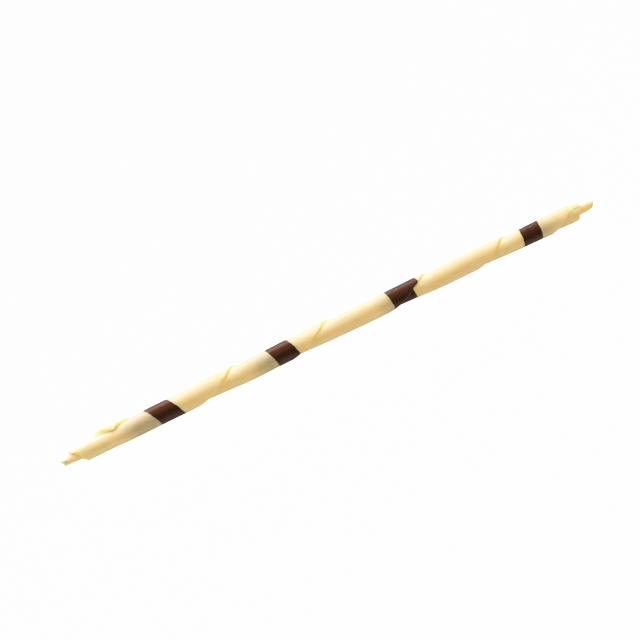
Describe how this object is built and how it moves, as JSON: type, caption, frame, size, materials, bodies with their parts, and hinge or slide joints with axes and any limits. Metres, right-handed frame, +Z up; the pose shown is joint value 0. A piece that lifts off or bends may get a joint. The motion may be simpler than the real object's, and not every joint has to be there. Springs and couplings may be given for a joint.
{
  "type": "chocolate stick",
  "caption": "Slender rolled white chocolate stick with a slanting seam, dark chocolate bands and stepped ends, lying flat for use as a dessert decoration.",
  "frame": {"origin": "centre of the bounding box in plan, on the plane that the stick rests on", "axes": "+X along the stick from the thick end to the thin end, +Z up"},
  "size_m": [0.2, 0.0078, 0.0077],
  "materials": {
    "white": "satin ivory white chocolate",
    "dark": "satin dark brown chocolate"
  },
  "bodies": {
    "root": {"white_length_1": "white", "dark_band_1": "dark", "white_length_2": "white", "dark_band_2": "dark", "white_length_3": "white", "dark_band_3": "dark", "white_length_4": "white", "dark_band_4": "dark", "white_length_5": "white"}
  },
  "joints": []
}
